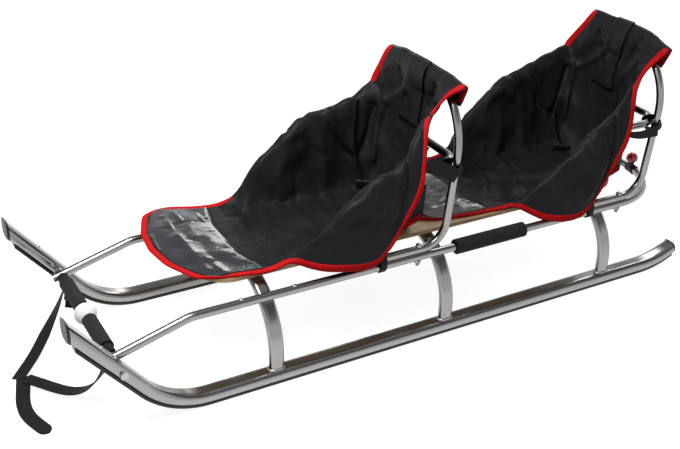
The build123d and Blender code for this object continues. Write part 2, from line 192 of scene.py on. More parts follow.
def add_bump(material, scale, height, detail=3.0):
    """Relief from noise laid over the piece in its own frame."""
    tree = material.node_tree
    place = tree.nodes.new("ShaderNodeTexCoord")
    texture = tree.nodes.new("ShaderNodeTexNoise")
    texture.inputs["Scale"].default_value = scale
    texture.inputs["Detail"].default_value = detail
    bump = tree.nodes.new("ShaderNodeBump")
    bump.inputs["Distance"].default_value = height
    bump.inputs["Strength"].default_value = 1.0
    tree.links.new(place.outputs["Object"], texture.inputs["Vector"])
    tree.links.new(texture.outputs["Fac"], bump.inputs["Height"])
    tree.links.new(bump.outputs["Normal"], tree.nodes["Principled BSDF"].inputs["Normal"])


def vary_colour(material, scale, low, high, stretch=(1, 1, 1)):
    """Soft uneven colour over the piece."""
    tree = material.node_tree
    place = tree.nodes.new("ShaderNodeTexCoord")
    mapping = tree.nodes.new("ShaderNodeMapping")
    mapping.inputs["Scale"].default_value = stretch
    texture = tree.nodes.new("ShaderNodeTexNoise")
    texture.inputs["Scale"].default_value = scale
    texture.inputs["Detail"].default_value = 4.0
    ramp = tree.nodes.new("ShaderNodeValToRGB")
    for end, position, colour in zip(ramp.color_ramp.elements, (0.3, 0.7), (low, high)):
        end.position = position
        end.color = (*colour, 1)
    tree.links.new(place.outputs["Object"], mapping.inputs["Vector"])
    tree.links.new(mapping.outputs["Vector"], texture.inputs["Vector"])
    tree.links.new(texture.outputs["Fac"], ramp.inputs["Fac"])
    tree.links.new(ramp.outputs["Color"], tree.nodes["Principled BSDF"].inputs["Base Color"])


def clear_sheet():
    """Clear sheet that mirrors more at a low angle, with a thin haze."""
    material = bpy.data.materials.new("clear_vinyl")
    material.use_nodes = True
    tree = material.node_tree
    tree.nodes.clear()
    through = tree.nodes.new("ShaderNodeBsdfTransparent")
    through.inputs["Color"].default_value = (0.85, 0.87, 0.9, 1)
    gloss = tree.nodes.new("ShaderNodeBsdfGlossy")
    gloss.inputs["Roughness"].default_value = 0.2
    facing = tree.nodes.new("ShaderNodeFresnel")
    facing.inputs["IOR"].default_value = 2.0
    mix = tree.nodes.new("ShaderNodeMixShader")
    tree.links.new(facing.outputs[0], mix.inputs["Fac"])
    tree.links.new(through.outputs[0], mix.inputs[1])
    tree.links.new(gloss.outputs[0], mix.inputs[2])
    haze = tree.nodes.new("ShaderNodeBsdfDiffuse")
    haze.inputs["Color"].default_value = (0.012, 0.014, 0.017, 1)
    both = tree.nodes.new("ShaderNodeAddShader")
    tree.links.new(mix.outputs[0], both.inputs[0])
    tree.links.new(haze.outputs[0], both.inputs[1])
    output = tree.nodes.new("ShaderNodeOutputMaterial")
    tree.links.new(both.outputs[0], output.inputs["Surface"])
    return material


aluminium = material_named("aluminium", (0.29, 0.285, 0.277), 0.2, 1.0)
add_bump(aluminium, 260, 0.000006, detail=2)
weld_metal = material_named("weld_metal", (0.4, 0.395, 0.39), 0.38, 1.0)
add_bump(weld_metal, 500, 0.0003)
zinc_steel = material_named("zinc_steel", (0.4, 0.39, 0.38), 0.34, 1.0)
black_plastic = material_named("black_plastic", (0.009, 0.009, 0.0095), 0.45, Specular_IOR_Level=0.35)
add_bump(black_plastic, 1500, 0.00005)
black_foam = material_named("black_foam", (0.015, 0.015, 0.0155), 0.85, Specular_IOR_Level=0.25)
add_bump(black_foam, 700, 0.0005, detail=5)
white_plastic = material_named("white_plastic", (0.72, 0.74, 0.77), 0.3)
webbing = material_named("webbing", (0.0065, 0.0065, 0.007), 0.7, Specular_IOR_Level=0.2)
add_bump(webbing, 900, 0.0004)
plywood = material_named("plywood", (0.62, 0.42, 0.23), 0.5)
vary_colour(plywood, 9, (0.66, 0.46, 0.26), (0.5, 0.31, 0.15), stretch=(0.6, 9, 60))
cover_cloth = material_named("cover_cloth", (0.0113, 0.0117, 0.0132), 0.42, Specular_IOR_Level=0.085)
vary_colour(cover_cloth, 14, (0.0103, 0.0107, 0.0122), (0.0127, 0.0131, 0.0147))
add_bump(cover_cloth, 1400, 0.0002, detail=2)
red_binding = material_named("red_binding", (0.42, 0.003, 0.004), 0.7, Specular_IOR_Level=0.12)
add_bump(red_binding, 1200, 0.0002)
clear_vinyl = clear_sheet()
red_plastic = material_named("red_plastic", (0.62, 0.012, 0.008), 0.22, Coat_Weight=0.5)

SLOT_LOOKS = {
    "aluminium": aluminium, "black_plastic": black_plastic, "zinc_steel": zinc_steel,
    "black_foam": black_foam, "webbing": webbing, "white_plastic": white_plastic, "plywood": plywood,
    "seat_fabric": cover_cloth, "red_plastic": red_plastic,
}
for node in nodes.values():
    for place in node.material_slots:
        slot_name = place.material.name.split(".")[0] if place.material else ""
        place.material = SLOT_LOOKS.get(slot_name, aluminium)


# Seat covers. Millimetres from the foot of the back frame, heights from the floor, rows from the apron's
# front to the pocket's rear hem. Columns: middle (x, z), crease at the foot of both sides (x, y, z), shift
# of those to the left, then for the left and for the right side the top, where the cloth turns over, and the
# edge, as (x, y outwards, z)
COVER_STATIONS = [
    ((519, 190), (511, 62, 190), -44, (482, 82, 189), (440, 102, 187), (484, 172, 189), (444, 190, 188)),
    ((474, 192), (468, 64, 192), -38, None, (416, 107, 187), None, (416, 180, 189)),
    ((428, 193), (425, 62, 193), -29, None, (386, 112, 187), None, (388, 166, 190)),
    ((375, 193), (374, 62, 193), -19, None, (354, 116, 189), None, (354, 154, 192)),
    ((335, 193), (334, 72, 193), -12, None, (330, 117, 193), None, (330, 150, 195)),
    ((308, 193), (307, 88, 193), -8, (308, 107, 199), (310, 112, 195), (308, 138, 214), (310, 142, 204)),
    ((280, 193), (278, 97, 194), -4, (280, 114, 223), (287, 130, 187), (280, 133, 252), (287, 148, 190)),
    ((250, 193), (246, 99, 194), -2, (248, 123, 253), (258, 149, 181), (248, 131, 283), (258, 156, 184)),
    ((215, 193), (210, 99, 194), 0, (213, 130, 285), (222, 161, 178), (213, 134, 309), (222, 163, 178)),
    ((178, 193), (172, 99, 194), 0, (178, 133, 314), (190, 163, 173), (178, 136, 340), (190, 164, 173)),
    ((140, 193), (132, 97, 194), 0, (148, 135, 334), (160, 163, 174), (148, 137, 352), (165, 164, 171)),
    ((100, 193), (92, 94, 195), 0, (122, 135, 338), (135, 163, 199), (121, 137, 352), (141, 163, 203)),
    ((62, 194), (56, 90, 198), 0, (101, 135, 350), (101, 163, 253), (98, 138, 354), (110, 162, 250)),
    ((28, 198), (32, 84, 208), 0, (85, 132, 366), (68, 161, 318), (80, 139, 358), (87, 157, 312)),
    ((6, 225), (18, 82, 240), -2, (73, 128, 384), (62, 154, 350), (62, 138, 367), (66, 150, 345)),
    ((-4, 270), (10, 80, 285), -8, (60, 121, 399), (54, 141, 380), (40, 138, 372), (40, 148, 352)),
    ((-7, 315), (4, 80, 322), -16, (51, 113, 410), (46, 129, 398), (20, 139, 388), (18, 147, 372)),
    ((-9, 355), (-1, 74, 358), -18, (38, 107, 426), (36, 118, 421), (5, 139, 400), (4, 145, 390)),
    ((-10, 392), (-6, 70, 394), -14, None, (20, 111, 442), None, (-3, 143, 415)),
    ((-10, 428), (-9, 70, 430), -8, None, (6, 116, 460), None, (-8, 132, 440)),
    ((-9, 461), (-9, 70, 463), 2, None, (-6, 129, 475), None, (-9, 118, 466)),
    ((-12, 487), (-13, 68, 487), 6, None, (-14, 139, 482), None, (-14, 113, 480)),
    ((-22, 496), (-22, 68, 495), 8, None, (-22, 139, 486), None, (-22, 112, 486)),
    ((-33, 487), (-33, 68, 486), 4, None, (-30, 133, 481), None, (-31, 110, 480)),
    ((-34, 460), (-34, 66, 460), 0, None, (-34, 121, 460), None, (-33, 106, 457)),
    ((-33, 436), (-33, 66, 436), 0, None, (-33, 112, 437), None, (-32, 104, 437)),
]
# Where the rear cover differs. Columns: station, left side and right side (forward, outwards, up), middle up
REAR_COVER = [
    (0, (30, -12, 0), (30, 12, 0), 0), (1, (22, -12, 0), (22, 12, 0), 0), (2, (10, -11, 0), (10, 10, 0), 0),
    (3, (0, -12, 0), (0, 6, 0), 0), (4, (0, -8, 0), (0, 0, 0), 0),
    (6, (0, 0, -4), (0, 0, 8), 0), (7, (0, 0, -12), (0, 0, 12), 0), (8, (0, 0, -15), (0, 0, 14), 0),
    (9, (0, 0, -13), (0, 0, 11), 0), (10, (0, 0, -6), (0, 0, 8), 0),
    (11, (2, 0, 0), (0, 0, 12), 0), (12, (8, 0, 0), (0, 0, 20), 0), (13, (6, 0, 0), (0, 0, 21), 0),
    (14, (0, -3, -5), (0, 0, 22), 0), (15, (-6, -5, -14), (0, 0, 22), 0), (16, (-8, -3, -16), (0, 0, 14), 0),
    (17, (-9, -3, -19), (0, 0, 7), 0), (18, (-2, 1, -18), (0, 0, 1), 0), (19, (0, -1, -17), (0, -6, 3), 2),
    (20, (-2, -1, -8), (0, -16, 8), 6), (21, (0, 0, 0), (0, -24, 17), 10), (22, (0, 0, 0), (0, -25, 18), 12),
    (23, (0, 0, 0), (0, -24, 17), 10), (24, (0, 0, 0), (0, -16, 10), 5),
]
# Turn of the cloth over the sides in millimetres, and its share at the stations where it is smaller
FOLD_RADIUS = 13.0
FOLD_GROWTH = {0: 0.0, 5: 0.25, 6: 0.5, 7: 0.7, 8: 0.85, 13: 0.9, 14: 0.75, 15: 0.6, 16: 0.5, 17: 0.4}
# Grid of the covers, with the spacing in millimetres at which a row is eased
COVER_ROWS = 150
COVER_HALF_COLUMNS = 48
ROW_STEP = 2.0
ROW_EASING = 6
COVER_THICK = 0.0034
APRON_CORNER = 3
CROWN_FOOT = 0.44
TUBE_CLEARANCE = 0.003
# Clear sheets, whose rear end is in millimetres from the seat's foot
VINYL_REAR = 379.0
VINYL_LIFT = 0.0032
VINYL_RIPPLE = 0.018
# Folds in the clear sheets, in millimetres. Columns: from (x, y), to (x, y), half width, height
VINYL_FOLDS = {
    "front": [
        ((451, -148), (457, -60), 5, 1.0), ((457, -60), (453, 70), 11, 2.1),
        ((438, 40), (430, 88), 9, 1.6), ((429, -156), (428, -112), 5, 0.9),
        ((391, -130), (390, -96), 4, 0.7), ((500, -84), (506, -30), 5, 0.9),
    ],
    "rear": [
        ((462, 38), (404, 41), 8, 0.3), ((414, -12), (392, -12), 6, 0.25),
        ((394, 79), (377, 82), 5, 0.2),
    ],
}
VINYL_CRINKLE = {"front": 0.0002, "rear": 0.00008}
SLEEVE_STATIONS = (17, 22)
SLEEVE_COLUMNS = (39, 60)
SLEEVE_LIFT = 0.0045
# Seams, of which those across the seat are in millimetres from its foot
SEAM_STATIONS = (379.0, 309.0, 196.0)
SEAM_DEPTH = 0.0028
SEAM_RISE = 0.006
SEAT_SEAM = (0.29, 0.03)


def hermite(knots, values, at):
    """Smooth curve through values at knots."""
    slope = np.gradient(values, knots, axis=0)
    i = np.clip(np.searchsorted(knots, at, side="right") - 1, 0, len(knots) - 2)
    span = (knots[i + 1] - knots[i])[:, None]
    s = (at - knots[i])[:, None] / span
    start = (2 * s**3 - 3 * s**2 + 1) * values[i] + (s**3 - 2 * s**2 + s) * span * slope[i]
    end = (-2 * s**3 + 3 * s**2) * values[i + 1] + (s**3 - s**2) * span * slope[i + 1]
    return start + end


def even_row(corners, count):
    """A half row through its corners, eased, with evenly spaced points."""
    fine = eased(resample(corners, ROW_STEP), ROW_EASING)
    gone = distances_along(fine)
    return points_at(fine, gone, np.linspace(0, gone[-1], count + 1))


def half_row(side, middle, crease, shift, top, fold, edge):
    """One side's half row, from the middle to the edge."""
    bend = [(-1, -0.3), (-0.7, 0.7), (0, 1), (0.7, 0.7), (1, -0.3)]
    over = [top + (0, fold * aside, fold * up) for aside, up in bend]
    inner = [middle + (0, side * shift, 0), crease + (0, side * shift, 0)]
    return even_row(np.array([*inner, *over, edge]), COVER_HALF_COLUMNS) * (1, side, 1)


def side_columns(tops, edges):
    """Tops, fold radii and edges of one side, as arrays."""
    folds = np.array([FOLD_RADIUS * FOLD_GROWTH.get(i, 1.0) if top else 0.0 for i, top in enumerate(tops)])
    tops = np.array([top or edge for top, edge in zip(tops, edges)], float)
    return tops, folds, np.array(edges, float)


def cover_grid(seat):
    """Rows of points from left edge to right, from the apron's front to the pocket's rear hem."""
    middles, creases, shifts, *sides = zip(*COVER_STATIONS)
    middles = np.array([(x, 0, z) for x, z in middles], float)
    creases = np.array(creases, float)
    left = side_columns(*sides[:2])
    right = side_columns(*sides[2:])
    for station, left_change, right_change, rise in REAR_COVER if seat == "rear" else ():
        middles[station, 2] += rise
        creases[station, 2] += rise
        for (tops, _, edges), change in ((left, left_change), (right, right_change)):
            tops[station] += change
            edges[station] += change
    gaps = np.maximum(np.linalg.norm(np.diff(middles, axis=0), axis=1),
                      np.linalg.norm(np.diff(left[2], axis=0), axis=1))
    knots = np.concatenate([[0], np.cumsum(gaps)])
    at = np.linspace(0, knots[-1], COVER_ROWS + 1)
    middles, creases = (hermite(knots, column, at) for column in (middles, creases))
    shifts = np.interp(at, knots, shifts)
    halves = []
    for side, (tops, folds, edges) in ((1, left), (-1, right)):
        tops, edges = (hermite(knots, column, at) for column in (tops, edges))
        parts = zip(middles, creases, shifts, tops, np.interp(at, knots, folds), edges)
        halves.append(np.array([half_row(side, *part) for part in parts]))
    grid = np.concatenate([halves[0][:, ::-1], halves[1][:, 1:]], axis=1)
    for _ in range(3):
        grid[:, 1:-1] = 0.25 * grid[:, :-2] + 0.5 * grid[:, 1:-1] + 0.25 * grid[:, 2:]
        grid[1:-1] = 0.25 * grid[:-2] + 0.5 * grid[1:-1] + 0.25 * grid[2:]
    return grid * MM, at.searchsorted(knots)


def grid_faces(rows, columns):
    faces = []
    for i in range(rows - 1):
        a, b = i * columns, (i + 1) * columns
        faces += [(a + j, b + j, b + j + 1, a + j + 1) for j in range(columns - 1)]
    return faces


def grid_normals(grid):
    along = np.gradient(grid, axis=0)
    across = np.gradient(grid, axis=1)
    return unit(np.cross(along, across))


# Folds drawn in the covers. Columns: from (station, share of the half width to the left), to (same), half
# width and height in millimetres
COVER_FOLDS = [
    ((8.0, -0.59), (10.4, -0.42), 6, 6), ((9.6, -0.59), (12.4, -0.44), 7, -7),
    ((11.2, -0.6), (13.2, -0.46), 6, 6), ((13.0, -0.44), (16.2, -0.62), 8, -9),
    ((14.2, -0.36), (17.4, -0.58), 7, 7), ((17.4, -0.55), (19.0, -0.16), 7, 5),
    ((19.6, -0.5), (18.2, -0.12), 6, -5), ((19.2, 0.62), (17.4, 0.28), 6, 5),
    ((20.4, 0.5), (18.4, 0.34), 6, -5), ((6.2, -0.34), (4.4, 0.36), 7, 4.5),
    ((8.4, -0.36), (6.6, 0.42), 7, 4), ((4.9, -0.42), (4.0, 0.12), 6, -4),
    ((10.4, -0.38), (9.4, 0.3), 8, 4), ((7.4, 0.74), (9.3, 0.93), 7, 4.5),
    ((11.2, 0.78), (9.8, 0.93), 7, 4.5), ((12.6, 0.8), (11.6, 0.94), 7, -4.5),
    ((5.2, 0.7), (6.4, 0.5), 6, 4),
]


# Cloth settling: how far it may go, where arms, crown and seat hold it, then its creases and the board below
SETTLE_FRAMES = 26
SETTLE_CAP = 0.008
SETTLE_START = 0.003
SETTLE_START_SIZE = 0.05
COVER_SLACK = 0.025
ARM_TIES = (0.06, 0.125, 0.335)
CROWN_HELD = 0.478
SEAT_TOP = 0.2
SEAT_HALF_WIDTH = 0.1
SEAT_HELD_STEP = 9
APRON_REAR = 0.345
EDGE_REACH = 9
CREASE_HEIGHT = 0.0024
CREASE_SIZE = 0.09
FINE_CREASE_SIZE = 0.05
BACK_CREASE_TOP = 0.45
BOARD_HALF_WIDTH = 0.112
BOARD_COVER_TOP = 0.215
BOARD_GAP = 0.0006


def ripple(point, seed, size):
    return noise.noise(Vector(point) / size + Vector((7.3 * seed, 3.1 * seed, 1.7 * seed)))


def settle(grid, seed):
    """Let the loose cloth buckle between the places that hold it."""
    rows, columns = grid.shape[:2]
    start = grid.copy()
    normals = grid_normals(grid)
    for i in range(rows):
        for j in range(columns):
            start[i, j] += normals[i, j] * SETTLE_START * ripple(grid[i, j], seed, SETTLE_START_SIZE)
    piece = mesh_piece("settling", start.reshape(-1, 3), grid_faces(rows, columns))
    held = piece.vertex_groups.new(name="held")
    local = grid.reshape(-1, 3)
    arm_x, arm_y, arm_z = ARM_TIES
    top = (local[:, 2] > arm_z) & (np.abs(local[:, 1]) > arm_y) & (local[:, 0] > arm_x)
    crown = local[:, 2] > CROWN_HELD
    rim = np.zeros((rows, columns), bool)
    rim[:3] = True
    rim[-2:] = True
    rim[:, :3] = True
    rim[:, -3:] = True
    seams = np.zeros((rows, columns), bool)
    seat = (grid[:, :, 2] < SEAT_TOP) & (np.abs(grid[:, :, 1]) < SEAT_HALF_WIDTH)
    seams[::SEAT_HELD_STEP] = True
    fixed = top | crown | rim.ravel() | (seams & seat).ravel()
    held.add([int(i) for i in np.flatnonzero(fixed)], 1.0, "REPLACE")
    cloth = piece.modifiers.new("cloth", "CLOTH")
    cloth.settings.quality = 5
    cloth.settings.mass = 0.3
    cloth.settings.tension_stiffness = 20
    cloth.settings.compression_stiffness = 20
    cloth.settings.shear_stiffness = 6
    cloth.settings.bending_stiffness = 2.0
    cloth.settings.vertex_group_mass = "held"
    cloth.settings.shrink_min = -COVER_SLACK
    cloth.settings.effector_weights.gravity = 0
    cloth.collision_settings.use_collision = False
    cloth.collision_settings.use_self_collision = False
    cloth.point_cache.frame_start = 1
    cloth.point_cache.frame_end = SETTLE_FRAMES
    for step in range(1, SETTLE_FRAMES + 1):
        bpy.context.scene.frame_set(step)
    shaped = piece.evaluated_get(bpy.context.evaluated_depsgraph_get())
    moved = np.array([vertex.co for vertex in shaped.data.vertices]).reshape(grid.shape)
    bpy.data.objects.remove(piece)
    bpy.context.scene.frame_set(1)
    shift = moved - grid
    size = np.linalg.norm(shift, axis=-1, keepdims=True)
    back_share = np.where(grid[:, :, 2] > CROWN_FOOT, 0.5, 1.0)
    loose = np.where(grid[:, :, 0] > APRON_REAR, 0.25, back_share)[:, :, None]
    capped = shift * np.minimum(1, SETTLE_CAP / np.maximum(size, 1e-9))
    return grid + capped * loose * edge_share(grid, EDGE_REACH)


def edge_share(grid, reach):
    """From 0 at the cover's edges to 1 further in, since the binding keeps the edges smooth."""
    rows, columns = grid.shape[:2]
    down = np.minimum(np.arange(rows), np.arange(rows)[::-1])[:, None]
    over = np.minimum(np.arange(columns), np.arange(columns)[::-1])[None]
    share = np.clip((np.minimum(down, over) - 1) / reach, 0, 1)
    return (share**2 * (3 - 2 * share))[:, :, None]


def ridged(point, seed, size):
    """Narrow raised lines, as creases in stiff cloth."""
    return (1 - abs(ripple(point, seed, size))) ** 7


def folded(grid, station_rows):
    """Covers with the drawn folds raised or sunk along lines on their surface."""
    normals = grid_normals(grid)
    rise = np.zeros(grid.shape[:2])
    for (from_station, from_share), (to_station, to_share), half_width, height in COVER_FOLDS:
        stations = np.linspace(from_station, to_station, 40)
        rows = np.interp(stations, range(len(station_rows)), station_rows).round().astype(int)
        columns = (COVER_HALF_COLUMNS * (1 - np.linspace(from_share, to_share, 40))).round().astype(int)
        line = eased(grid[rows, columns], 6)
        away = np.linalg.norm(grid[:, :, None] - line[None, None], axis=-1).min(axis=2) / MM
        rise += MM * height * np.exp(-(away / half_width) ** 2)
    return grid + normals * rise[:, :, None] * edge_share(grid, 5)


def crease(grid, seed, station_rows):
    """Sharp creases, sewn seams and the board under the seat."""
    normals = grid_normals(grid)
    shares = edge_share(grid, EDGE_REACH)
    rows, columns = grid.shape[:2]
    shaped = folded(grid, station_rows)
    for i in range(rows):
        for j in range(columns):
            x, y, z = grid[i, j]
            slack = 0.4 if z < SEAT_TOP or z > BACK_CREASE_TOP else 1.0
            slack *= 0.3 if x > APRON_REAR else 1.0
            line = ridged((x + 0.4 * z, 1.7 * y, z - 0.3 * x), seed, CREASE_SIZE) - 0.45
            line += 0.45 * ridged((x - 0.5 * y, y + 0.6 * z, z), seed + 11, FINE_CREASE_SIZE) - 0.2
            shaped[i, j] += normals[i, j] * CREASE_HEIGHT * shares[i, j] * slack * line
    middle = grid[:, columns // 2, 0]
    for station in SEAM_STATIONS:
        row = int(np.argmin(np.abs(middle[:rows // 2] - station * MM)))
        shaped[row, 3:-3, 2] -= SEAM_DEPTH
    for row in np.flatnonzero((middle < SEAT_SEAM[0]) & (middle > SEAT_SEAM[1])):
        raised = np.flatnonzero(grid[row, :, 2] - grid[row, columns // 2, 2] < SEAM_RISE)
        for column in (raised[0], raised[-1]):
            shaped[row, column] -= normals[row, column] * SEAM_DEPTH
    over_board = (np.abs(shaped[:, :, 1]) < BOARD_HALF_WIDTH) & (grid[:, :, 2] < BOARD_COVER_TOP)
    lowest = board_top + COVER_THICK / 2 + BOARD_GAP
    shaped[:, :, 2] = np.where(over_board, np.maximum(shaped[:, :, 2], lowest), shaped[:, :, 2])
    return shaped


def rest_on_tube(grid, tube):
    """Cover lifted off the tube that carries its top."""
    surface = BVHTree.FromPolygons([vertex.co for vertex in tube.data.vertices],
                                   [face.vertices for face in tube.data.polygons])
    for i, j in np.argwhere(grid[:, :, 2] > CROWN_FOOT):
        spot, normal, _, _ = surface.find_nearest(Vector(grid[i, j]))
        if (Vector(grid[i, j]) - spot).dot(normal) < TUBE_CLEARANCE:
            grid[i, j] = spot + normal * TUBE_CLEARANCE
    return grid


def surface_patch(name, grid, rows, columns, lift):
    """A layer lying on a stretch of the cover."""
    normals = grid_normals(grid)
    points = (grid + normals * lift)[rows, columns]
    return mesh_piece(name, points.reshape(-1, 3), grid_faces(*points.shape[:2]))


def thicken(piece, thick, rounds=0):
    """Give a sheet its thickness and smooth it."""
    if thick:
        solid = piece.modifiers.new("solid", "SOLIDIFY")
        solid.thickness = thick
        solid.offset = 0
    if rounds:
        fine = piece.modifiers.new("fine", "SUBSURF")
        fine.levels = rounds
        fine.render_levels = rounds
    shaped = piece.evaluated_get(bpy.context.evaluated_depsgraph_get())
    mesh = bpy.data.meshes.new_from_object(shaped)
    piece.modifiers.clear()
    piece.data = mesh
    mesh.shade_smooth()
    return piece


BINDING_WIDTH = 0.0145
APRON_BINDING_WIDTH = 0.0105
APRON_START = (0.26, 0.36)
BINDING_HALF_THICK = 0.003
BINDING_ROUND = 0.002
BINDING_STEP = 0.0035


def from_edge(lines, distances):
    """Points at a distance in from the first point of each line."""
    found = []
    for line, distance in zip(lines, distances):
        found.append(points_at(line, distances_along(line), distance)[0])
    return np.array(found)


def tape(name, outer, half, inner):
    """Tape folded over an edge, through strands at the edge, half way in and at its inner side."""
    along = unit(np.gradient(outer, axis=0))
    out = unit(outer - half)
    normal = unit(np.cross(along, unit(inner - outer)))
    thick = BINDING_HALF_THICK
    ring = [
        outer + out * BINDING_ROUND, outer + normal * thick, half + normal * thick, inner + normal * thick,
        inner - out * BINDING_ROUND / 2, inner - normal * thick, half - normal * thick,
        outer - normal * thick,
    ]
    rings = np.stack(ring, axis=1)
    count, sides = rings.shape[:2]
    faces = ring_faces(count, sides) + end_faces(count, sides)
    piece = mesh_piece(name, rings.reshape(-1, 3), faces)
    return thicken(piece, 0, 1)


def build_binding(name, grid, last_row, foot):
    """Binding round the apron and up both sides of a cover."""
    left = list(grid[last_row:3:-1])
    front = [grid[:, j] for j in range(3, grid.shape[1] - 3)]
    right = [row[::-1] for row in grid[4:last_row + 1]]
    lines = left + front + right
    edge = np.array([line[0] for line in lines])
    width = np.interp(edge[:, 0] - foot, APRON_START, (BINDING_WIDTH, APRON_BINDING_WIDTH))
    gone = distances_along(edge)
    at = np.linspace(0, gone[-1], int(gone[-1] / BINDING_STEP))

    def strand(share):
        return eased(points_at(from_edge(lines, width * share), gone, at), 3)

    return tape(name, strand(0), strand(0.5), strand(1))


def finer(grid, times):
    """The same surface with more rows."""
    rows = np.arange(len(grid))
    at = np.linspace(0, len(grid) - 1, (len(grid) - 1) * times + 1)
    return np.stack([points_at(line, rows, at) for line in grid.swapaxes(0, 1)], axis=1)


def build_vinyl(seat, seed, grid, flat):
    """Clear sheet over the apron's front, with a few folds."""
    last_row = int(np.searchsorted(-flat[:, COVER_HALF_COLUMNS, 0], -VINYL_REAR * MM))
    lifted = (grid + grid_normals(grid) * VINYL_LIFT)[2:last_row, 4:-4]
    sheet = finer(finer(lifted, 5).swapaxes(0, 1), 2).swapaxes(0, 1)
    sheet = eased(eased(sheet, 12).swapaxes(0, 1), 4).swapaxes(0, 1)
    x = (sheet[:, :, 0] - seat_feet[seat]) / MM
    y = sheet[:, :, 1] / MM
    for (from_x, from_y), (to_x, to_y), half_width, height in VINYL_FOLDS[seat]:
        run = np.array((to_x - from_x, to_y - from_y), float)
        share = np.clip(((x - from_x) * run[0] + (y - from_y) * run[1]) / (run @ run), 0, 1)
        away = np.hypot(x - from_x - share * run[0], y - from_y - share * run[1])
        sheet[:, :, 2] += MM * height * np.exp(-(away / half_width) ** 2)
    for row in sheet:
        for point in row:
            point[2] += VINYL_CRINKLE[seat] * ripple(point, seed + 9, VINYL_RIPPLE)
    vinyl = mesh_piece(f"vinyl_{seat}", sheet.reshape(-1, 3), grid_faces(*sheet.shape[:2]))
    return finish_piece(vinyl, clear_vinyl, "seat_fabric")


def build_cover(seat, seed):
    """One seat's cover with its binding, clear sheet and sleeve."""
    place = np.array((seat_feet[seat], 0, 0))
    flat, station_rows = cover_grid(seat)
    grid = crease(settle(flat, seed), seed, station_rows) + place
    grid = rest_on_tube(grid, nodes[f"back_frame_{seat}"])
    columns = grid.shape[1]
    faces = []
    for face in grid_faces(*grid.shape[:2]):
        row, column = divmod(face[0], columns)
        if row + min(column, columns - 2 - column) > APRON_CORNER:
            faces.append(face)
    cover = mesh_piece(f"cover_{seat}", grid.reshape(-1, 3), faces)
    thicken(cover, COVER_THICK)
    replaced = [f"{node}_{seat}" for node in ("seat_pad", "back_panel")]
    replaced += [f"wing_{seat}_{side}" for _, side in SIDES]
    finish_piece(cover, cover_cloth, "seat_fabric", *replaced)
    binding = build_binding(f"binding_{seat}", grid, len(grid) - 2, place[0])
    finish_piece(binding, red_binding, "seat_fabric")
    vinyl = build_vinyl(seat, seed, grid, flat)
    sleeve_rows = slice(station_rows[SLEEVE_STATIONS[0]], station_rows[SLEEVE_STATIONS[1]])
    sleeve_columns = slice(*SLEEVE_COLUMNS)
    sleeve = surface_patch(f"back_sleeve_{seat}", grid, sleeve_rows, sleeve_columns, SLEEVE_LIFT)
    finish_piece(thicken(sleeve, COVER_THICK), cover_cloth, "seat_fabric")


for seed, seat in enumerate(seat_feet, 1):
    build_cover(seat, seed)


def seat_place(seat, x, y, z):
    """A place given in millimetres from the foot of a seat's back frame."""
    return np.array((seat_feet[seat] + x * MM, y * MM, z * MM))


# Gussets: side panels behind the wings, bound at the foot
GUSSET_CORNERS = ((66, 108, 204), (25, 104, 214), (18, 98, 282), (58, 122, 300))
GUSSET_SHIFTS = (0, -4, -24, -8)


def build_gusset(seat, side, side_name):
    """Side panel behind a wing and the binding at its foot."""
    a, b, c, d = (seat_place(seat, x, side * y + shift * (side < 0), z)
                  for (x, y, z), shift in zip(GUSSET_CORNERS, GUSSET_SHIFTS))
    steps = np.linspace(0, 1, 15)
    feet = [a * (1 - s) + b * s for s in steps]
    heads = [d * (1 - s) + c * s for s in steps]
    grid = np.array([[foot * (1 - r) + head * r for foot, head in zip(feet, heads)] for r in steps])
    panel = mesh_piece(f"gusset_{seat}_{side_name}", grid.reshape(-1, 3), grid_faces(*grid.shape[:2]))
    finish_piece(thicken(panel, COVER_THICK), cover_cloth, "seat_fabric")
    middle = grid[8, 4]
    outer = eased(resample(grid[0], BINDING_STEP), 4)
    along = unit(np.gradient(outer, axis=0))
    inward = middle - outer
    inward = unit(inward - along * (inward * along).sum(1, keepdims=True))
    strip = tape(f"gusset_binding_{seat}_{side_name}", outer, outer + inward * BINDING_WIDTH / 2,
                 outer + inward * BINDING_WIDTH)
    finish_piece(strip, red_binding, "seat_fabric")


# Ties and harness straps
RIBBON_STEP = 0.004
RIBBON_EASING = 8


def loop_band(name, centre, reach, rise, width, thick):
    """Flat band round an ellipse whose half-axes are reach and rise."""
    angles = np.linspace(0, 2 * pi, 44, endpoint=False)[:, None]
    path = centre + np.cos(angles) * reach + np.sin(angles) * rise
    along = unit(np.roll(path, -1, axis=0) - np.roll(path, 1, axis=0))
    axis = np.tile(unit(np.cross(reach, rise)), (len(path), 1))
    return sweep(name, path, axis, np.cross(along, axis), bar_profile(width, thick), closed=True)


def ribbon(name, points, across, width, thick, end_width=None):
    """Flat band along a path, with the direction of its width, which may grow to its end."""
    path = eased(resample(points, RIBBON_STEP), RIBBON_EASING)
    along = unit(np.gradient(path, axis=0))
    wide = unit(across - along * (across * along).sum(1, keepdims=True))
    growth = np.linspace(1, (end_width or width) / width, len(path))[:, None]
    return sweep(name, path, wide * growth, np.cross(along, wide), bar_profile(width, thick))


HOOP_BEND_RADIUS = 0.05
HOOP_ARM_INSET = 0.010
TIE_WIDTH = 0.02
TIE_THICK = 0.0022
TIE_GAP = 0.0035
TIE_HALF_DEPTH = 0.0145
# Band round the rail, whose place is in millimetres from the seat's foot
RAIL_TIE_PLACE = 138
RAIL_TIE_WIDTH = 0.014
RAIL_TIE_GAP = 0.0028
